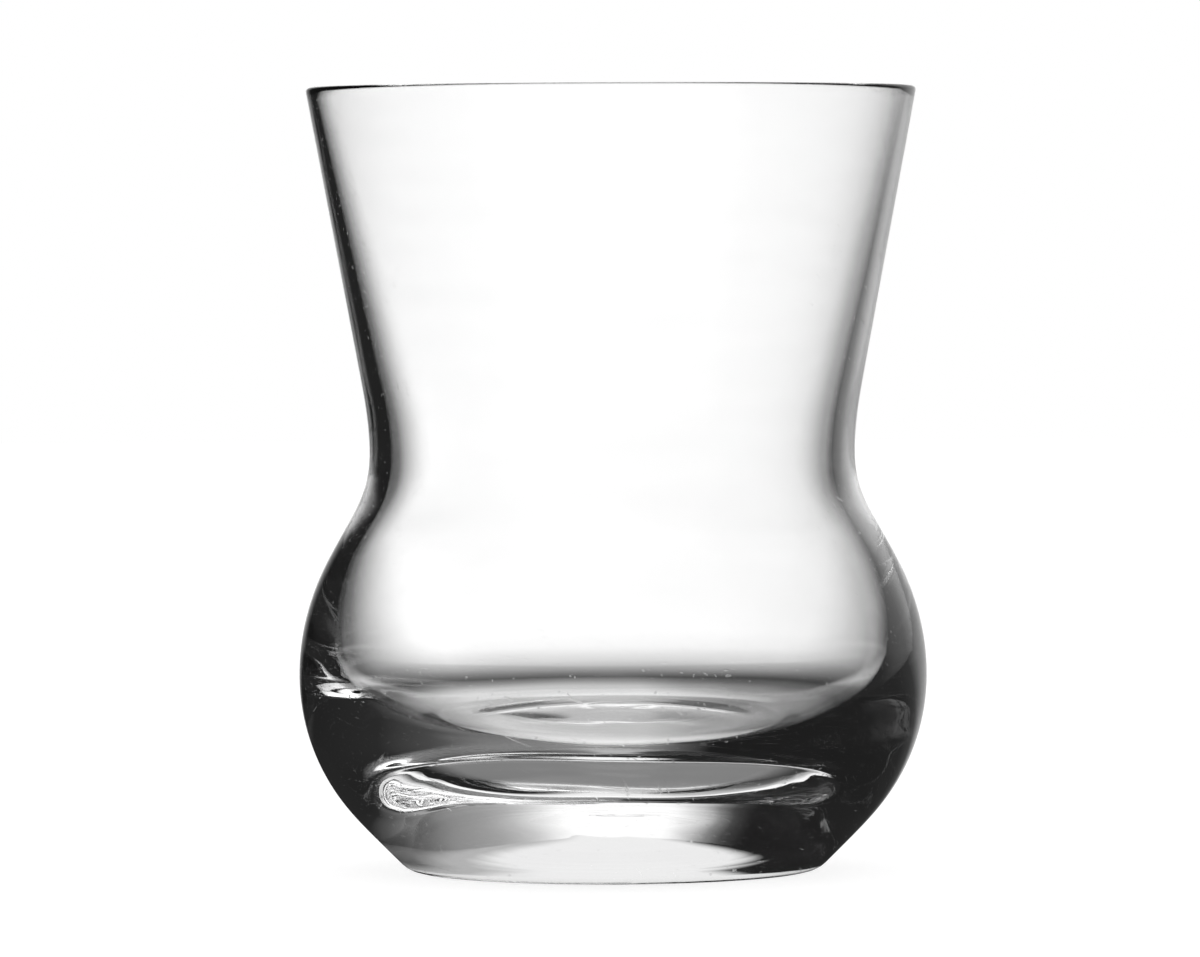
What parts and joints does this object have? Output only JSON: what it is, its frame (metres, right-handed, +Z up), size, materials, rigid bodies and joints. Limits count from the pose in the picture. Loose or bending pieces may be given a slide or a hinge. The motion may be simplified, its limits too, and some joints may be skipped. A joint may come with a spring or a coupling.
{
  "type": "rocks glass",
  "caption": "Clear waisted drinking glass with a flared mouth, a narrow waist, a round bulb and a thick solid base, for short drinks.",
  "frame": {"origin": "middle of the foot ring, on the surface that the glass stands on", "axes": "+Z up the axis that the glass is round about, towards the lip; X and Y are any two level directions"},
  "size_m": [0.0804, 0.0804, 0.1],
  "materials": {
    "clear_glass": "polished"
  },
  "bodies": {
    "root": {"tumbler": "clear_glass"}
  },
  "joints": []
}
